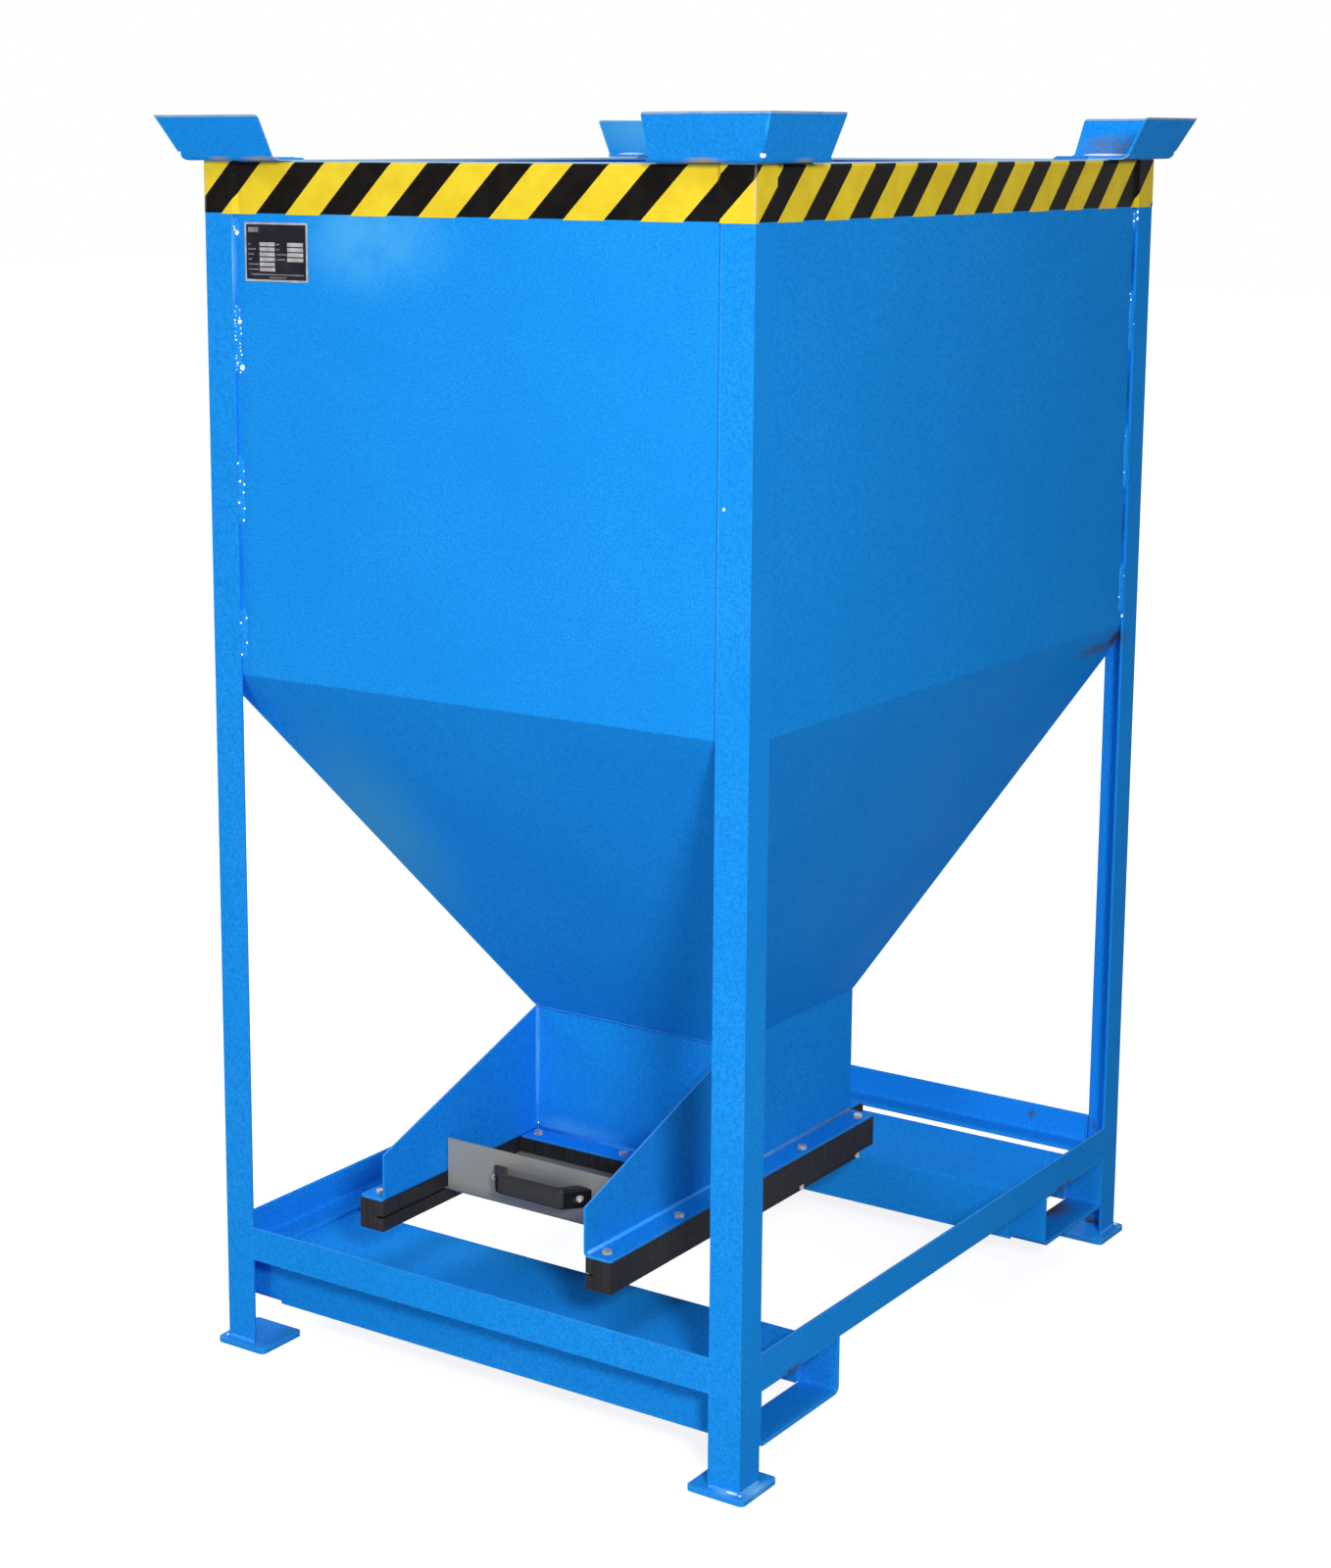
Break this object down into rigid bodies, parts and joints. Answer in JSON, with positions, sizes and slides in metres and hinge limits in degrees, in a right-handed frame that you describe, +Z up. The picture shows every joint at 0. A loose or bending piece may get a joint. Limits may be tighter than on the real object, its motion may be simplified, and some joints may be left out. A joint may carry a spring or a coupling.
{
  "type": "silo container",
  "caption": "Free-standing sheet steel silo container on legs, with a hopper bottom, a hand-drawn slide gate, fork loops and flared stacking corners.",
  "frame": {"origin": "on the floor, at the centre of the container's plan", "axes": "+Z up, +X to the right seen from the gate side, +Y from the gate side to the back"},
  "size_m": [0.9972, 1.2772, 1.812],
  "materials": {
    "blue_paint": "sprayed light blue enamel on welded steel sheet and angle",
    "black_polyethylene": "sawn and planed black polyethylene bar",
    "stainless_plate": "cold rolled stainless plate, lightly brushed",
    "black_nylon": "moulded black nylon",
    "zinc_fastener": "yellowed zinc plating"
  },
  "bodies": {
    "container": {"post_front_left": "blue_paint", "post_front_right": "blue_paint", "post_rear_left": "blue_paint", "post_rear_right": "blue_paint", "foot_plate_front_left": "blue_paint", "foot_plate_front_right": "blue_paint", "foot_plate_rear_left": "blue_paint", "foot_plate_rear_right": "blue_paint", "stacking_corner_front_left": "blue_paint", "stacking_corner_front_right": "blue_paint", "stacking_corner_rear_left": "blue_paint", "stacking_corner_rear_right": "blue_paint", "base_rail_front": "blue_paint", "base_rail_rear": "blue_paint", "base_rail_left": "blue_paint", "base_rail_right": "blue_paint", "bin_sheet_front": "blue_paint", "bin_sheet_rear": "blue_paint", "bin_sheet_left": "blue_paint", "bin_sheet_right": "blue_paint", "fork_shelf_front": "blue_paint", "fork_shelf_rear": "blue_paint", "fork_loop_front_left": "blue_paint", "fork_loop_front_right": "blue_paint", "fork_loop_rear_left": "blue_paint", "fork_loop_rear_right": "blue_paint", "outlet_side_left": "blue_paint", "outlet_side_right": "blue_paint", "outlet_end_front": "blue_paint", "outlet_end_rear": "blue_paint", "slide_bar_left": "black_polyethylene", "slide_bar_right": "black_polyethylene", "cross_bar_front": "black_polyethylene", "cross_bar_rear": "black_polyethylene", "lower_strip_left": "black_polyethylene", "lower_strip_right": "black_polyethylene", "frame_bolts": "zinc_fastener", "frame_nuts": "zinc_fastener", "front_bar_screws": "zinc_fastener"},
    "gate": {"gate_plate": "stainless_plate", "gate_handle": "black_nylon", "handle_screws": "zinc_fastener", "handle_nuts": "zinc_fastener"}
  },
  "joints": [
    {"name": "gate_slide", "type": "slide", "parent": "container", "child": "gate", "axis": [0, -1, 0], "range_m": [0, 0.36]}
  ]
}
